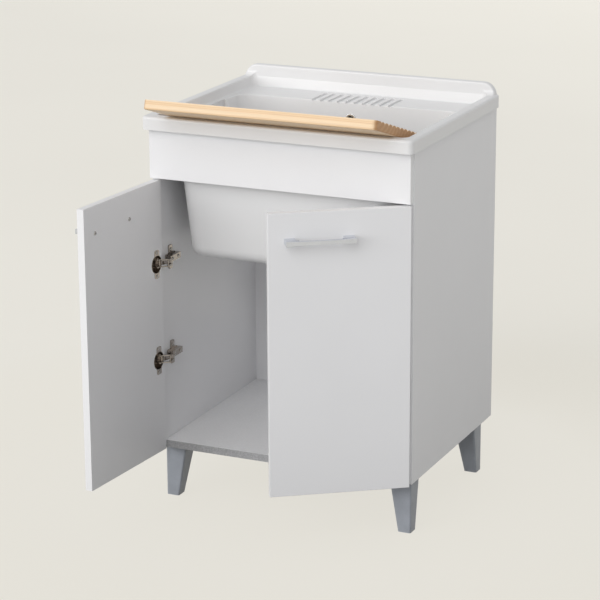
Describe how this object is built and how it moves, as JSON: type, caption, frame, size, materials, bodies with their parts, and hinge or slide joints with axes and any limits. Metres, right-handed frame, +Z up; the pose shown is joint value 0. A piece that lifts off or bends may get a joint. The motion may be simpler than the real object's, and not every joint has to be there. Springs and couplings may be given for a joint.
{
  "type": "sink cabinet",
  "caption": "White free-standing sink cabinet with a moulded laundry tub and drained deck, hinged doors with bar handles, tapered feet and a loose ribbed washboard.",
  "frame": {"origin": "on the floor, under the middle of the carcass", "axes": "+Z up, the doors face -Y, +X to the right of someone who faces the doors"},
  "size_m": [0.636, 0.7761, 0.9048],
  "materials": {
    "white_board": "white melamine on chipboard",
    "beech": "plain",
    "pine": "sanded pine",
    "foot_plastic": "silver grey",
    "tub_acrylic": "white gloss",
    "satin_aluminium": "satin",
    "hinge_steel": "nickel plated",
    "chrome_trim": "polished",
    "pipe_plastic": "white",
    "seal_rubber": "plain"
  },
  "bodies": {
    "cabinet": {"left_side_panel": "white_board", "right_side_panel": "white_board", "bottom_panel": "white_board", "rear_bottom_rail": "white_board", "rear_top_rail": "white_board", "back_panel": "white_board", "fascia_panel": "white_board", "carcass_dowels": "beech", "front_left_foot": "foot_plastic", "front_right_foot": "foot_plastic", "rear_left_foot": "foot_plastic", "rear_right_foot": "foot_plastic", "tub": "tub_acrylic", "overflow_rosette": "chrome_trim", "overflow_elbow": "pipe_plastic", "overflow_pipe": "pipe_plastic", "waste_strainer": "chrome_trim", "waste_seal": "seal_rubber", "waste_nut": "pipe_plastic", "waste_body": "pipe_plastic", "left_upper_hinge_plate": "hinge_steel", "left_upper_hinge_arm": "hinge_steel", "left_lower_hinge_plate": "hinge_steel", "left_lower_hinge_arm": "hinge_steel", "left_arm_pins": "hinge_steel", "right_upper_hinge_plate": "hinge_steel", "right_upper_hinge_arm": "hinge_steel", "right_lower_hinge_plate": "hinge_steel", "right_lower_hinge_arm": "hinge_steel", "right_arm_pins": "hinge_steel"},
    "left_outer_links": {"left_upper_outer_link": "hinge_steel", "left_lower_outer_link": "hinge_steel"},
    "left_inner_links": {"left_upper_inner_link": "hinge_steel", "left_lower_inner_link": "hinge_steel"},
    "left_door": {"left_door_panel": "white_board", "left_handle": "satin_aluminium", "left_upper_hinge_cup": "hinge_steel", "left_lower_hinge_cup": "hinge_steel", "left_cup_pins": "hinge_steel"},
    "right_outer_links": {"right_upper_outer_link": "hinge_steel", "right_lower_outer_link": "hinge_steel"},
    "right_inner_links": {"right_upper_inner_link": "hinge_steel", "right_lower_inner_link": "hinge_steel"},
    "right_door": {"right_door_panel": "white_board", "right_handle": "satin_aluminium", "right_upper_hinge_cup": "hinge_steel", "right_lower_hinge_cup": "hinge_steel", "right_cup_pins": "hinge_steel"},
    "washboard": {"washboard": "pine"}
  },
  "joints": [
    {"name": "left_outer_link_turn", "type": "hinge", "parent": "cabinet", "child": "left_outer_links", "pos_m": [-0.261, -0.2315, 0.428], "axis": [0, 0, 1], "range_deg": [-34.8, 3.72]},
    {"name": "left_inner_link_turn", "type": "hinge", "parent": "cabinet", "child": "left_inner_links", "pos_m": [-0.2572, -0.248, 0.428], "axis": [0, 0, 1], "range_deg": [-38, 4.06]},
    {"name": "left_door_hinge", "type": "hinge", "parent": "left_outer_links", "child": "left_door", "pos_m": [-0.27473, -0.25467, 0.428], "axis": [0, 0, -1], "range_deg": [-128.78, 13.7]},
    {"name": "right_outer_link_turn", "type": "hinge", "parent": "cabinet", "child": "right_outer_links", "pos_m": [0.261, -0.2315, 0.428], "axis": [0, 0, -1], "range_deg": [-12.97, 25.55]},
    {"name": "right_inner_link_turn", "type": "hinge", "parent": "cabinet", "child": "right_inner_links", "pos_m": [0.2572, -0.248, 0.428], "axis": [0, 0, -1], "range_deg": [-14.16, 27.9]},
    {"name": "right_door_hinge", "type": "hinge", "parent": "right_outer_links", "child": "right_door", "pos_m": [0.28237, -0.24791, 0.428], "axis": [0, 0, 1], "range_deg": [-47.95, 94.53]},
    {"name": "washboard_lift", "type": "slide", "parent": "cabinet", "child": "washboard", "axis": [0, 0, 1], "range_m": [0, 0.2]}
  ],
  "couplings": [
    {"joint": "left_outer_link_turn", "follows": "left_door_hinge", "ratio": 0.27007},
    {"joint": "left_inner_link_turn", "follows": "left_door_hinge", "ratio": 0.29489},
    {"joint": "right_outer_link_turn", "follows": "right_door_hinge", "ratio": 0.27007},
    {"joint": "right_inner_link_turn", "follows": "right_door_hinge", "ratio": 0.29489}
  ]
}
